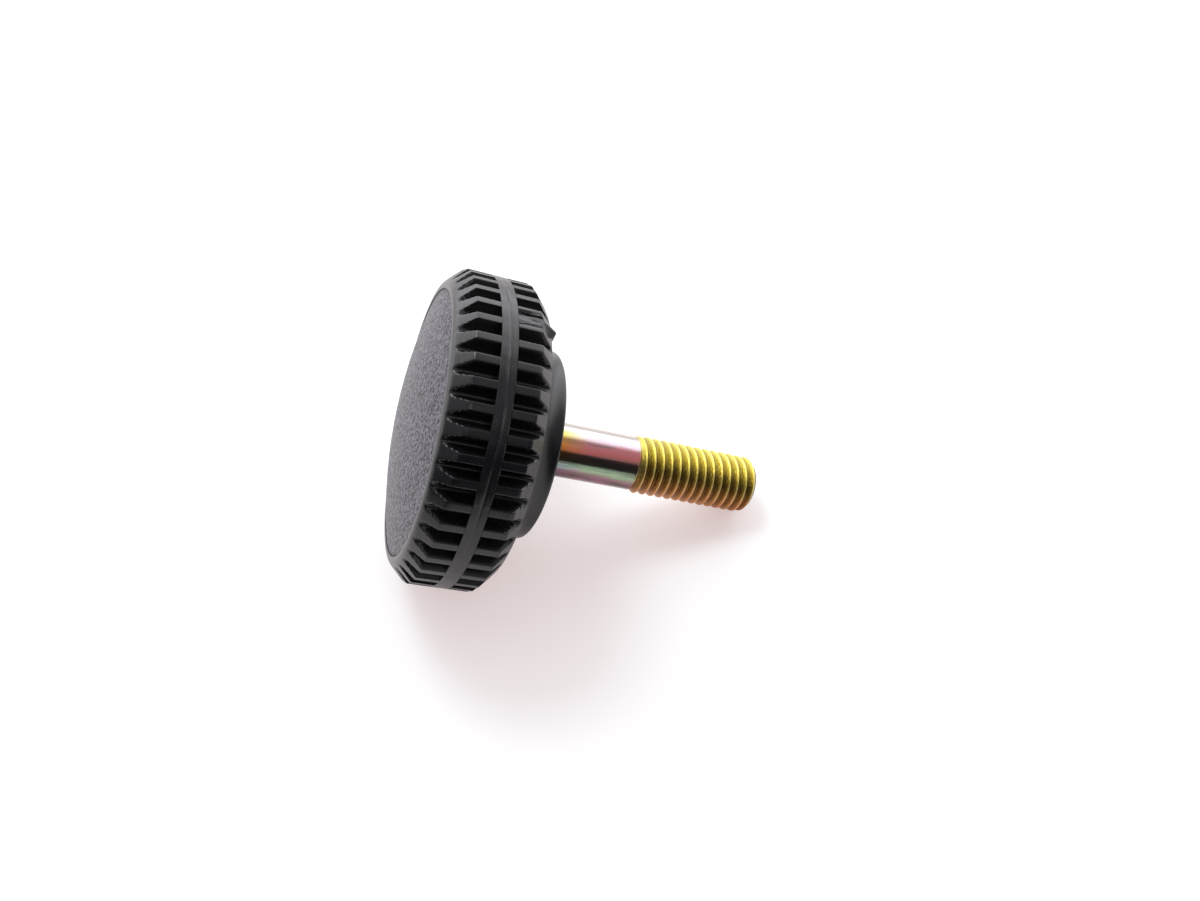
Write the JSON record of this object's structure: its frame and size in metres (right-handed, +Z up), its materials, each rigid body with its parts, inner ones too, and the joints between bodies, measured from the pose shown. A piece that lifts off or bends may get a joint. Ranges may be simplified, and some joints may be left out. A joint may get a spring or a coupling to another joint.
{
  "type": "thumb screw",
  "caption": "Thumb screw with a ribbed round plastic knob moulded on a zinc-plated M8 screw, part threaded.",
  "frame": {"origin": "centre of the bounding box at the ground, with the screw lying on its rim and tip", "axes": "+X along the length on the ground towards the threaded tip, +Z up, screw axis in the XZ plane"},
  "size_m": [0.0515, 0.04, 0.0397],
  "materials": {
    "black_plastic": "fine grained moulded plastic",
    "yellow_zinc": "steel with iridescent yellow zinc plating"
  },
  "bodies": {
    "root": {"knob": "black_plastic", "screw": "yellow_zinc"}
  },
  "joints": []
}
